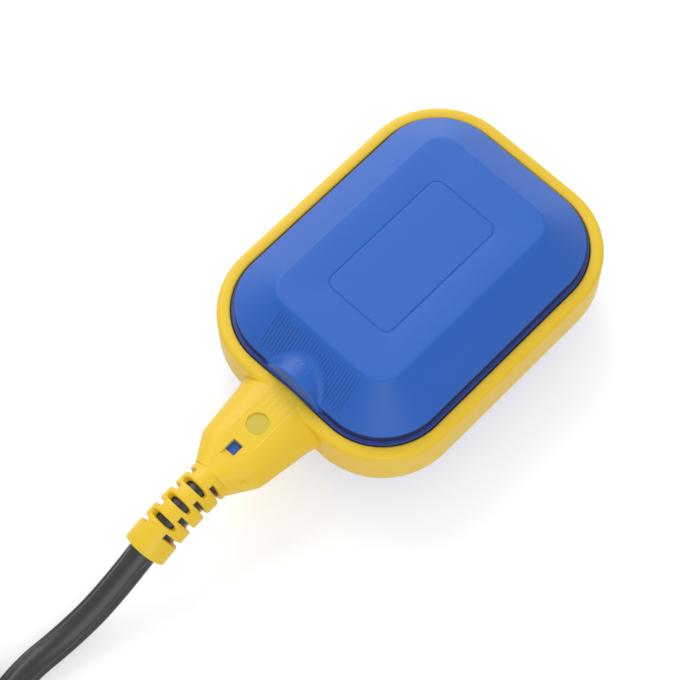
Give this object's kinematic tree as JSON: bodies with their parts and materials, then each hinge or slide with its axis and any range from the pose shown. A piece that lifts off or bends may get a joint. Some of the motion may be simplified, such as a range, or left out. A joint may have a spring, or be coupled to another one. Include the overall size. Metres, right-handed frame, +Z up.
{
  "type": "float level switch",
  "caption": "Tilting float level switch: a flat blue float in a yellow rim with a slotted strain relief, a ball-operated snap switch inside, and its cable wound into a coil.",
  "frame": {"origin": "on the surface it stands on, under the middle of the float with its strain relief", "axes": "+X towards the nose of the float, the cable leaves towards -X, +Z up out of the flat face"},
  "size_m": [0.3177, 0.1337, 0.0432],
  "materials": {
    "rim_yellow": "satin moulded polypropylene",
    "shell_blue": "satin moulded polypropylene",
    "cable_black": "matt rubber-like cable sheath",
    "seal_rubber": "matt nitrile rubber",
    "clamp_black": "matt glass-filled nylon",
    "zinc_steel": "bright zinc-plated steel",
    "box_grey": "satin grey ABS",
    "ball_steel": "polished bearing steel",
    "spring_steel": "rolled stainless steel strip",
    "switch_black": "matt moulded thermoset",
    "lid_red": "matt moulded thermoset lid",
    "plunger_white": "white acetal",
    "contact_copper": "beryllium copper strip with silvered rivets",
    "terminal_brass": "tinned brass strip",
    "core_black": "satin PVC insulation",
    "core_blue": "satin PVC insulation",
    "core_brown": "satin PVC insulation",
    "bare_copper": "bare stranded copper",
    "tie_nylon": "black nylon"
  },
  "bodies": {
    "root": {"surround_frame": "rim_yellow", "upper_shell": "shell_blue", "lower_shell": "shell_blue", "cable_grommet": "seal_rubber", "cable_clamp": "clamp_black", "clamp_screws": "zinc_steel", "capsule_tray": "box_grey", "capsule_gasket": "seal_rubber", "capsule_cover": "box_grey", "capsule_screws": "zinc_steel", "wire_seal": "seal_rubber", "lever_pin": "zinc_steel", "switch_case": "switch_black", "switch_cover": "lid_red", "switch_screws": "zinc_steel", "common_terminal": "terminal_brass", "normally_open_terminal": "terminal_brass", "normally_closed_terminal": "terminal_brass", "core_common": "core_black", "core_normally_closed": "core_blue", "core_normally_open": "core_brown", "cable_in_neck": "cable_black", "cable_run": "cable_black", "cable_coil": "cable_black", "coil_tie_1": "tie_nylon", "coil_tie_2": "tie_nylon", "lead_black": "core_black", "lead_blue": "core_blue", "lead_brown": "core_brown", "lead_tips": "bare_copper"},
    "ball": {"steel_ball": "ball_steel"},
    "lever": {"actuator_lever": "spring_steel"},
    "plunger": {"switch_plunger": "plunger_white"},
    "blade": {"contact_blade": "contact_copper"}
  },
  "joints": [
    {"name": "ball_roll", "type": "slide", "parent": "root", "child": "ball", "axis": [-1, 0, 0], "range_m": [0, 0.00596]},
    {"name": "lever_swing", "type": "hinge", "parent": "root", "child": "lever", "pos_m": [0.03976, -0.017, 0.01978], "axis": [0, 0, 1], "range_deg": [0, 18]},
    {"name": "plunger_push", "type": "slide", "parent": "root", "child": "plunger", "axis": [-1, 0, 0], "range_m": [0, 0.00115]},
    {"name": "blade_swing", "type": "hinge", "parent": "root", "child": "blade", "pos_m": [0.03056, 0.0055, 0.01978], "axis": [0, 0, -1], "range_deg": [0, 3.49]}
  ],
  "couplings": [
    {"joint": "lever_swing", "follows": "ball_roll", "rad_per_m": 52.676},
    {"joint": "plunger_push", "follows": "ball_roll", "ratio": 0.19288},
    {"joint": "blade_swing", "follows": "ball_roll", "rad_per_m": 10.201}
  ]
}
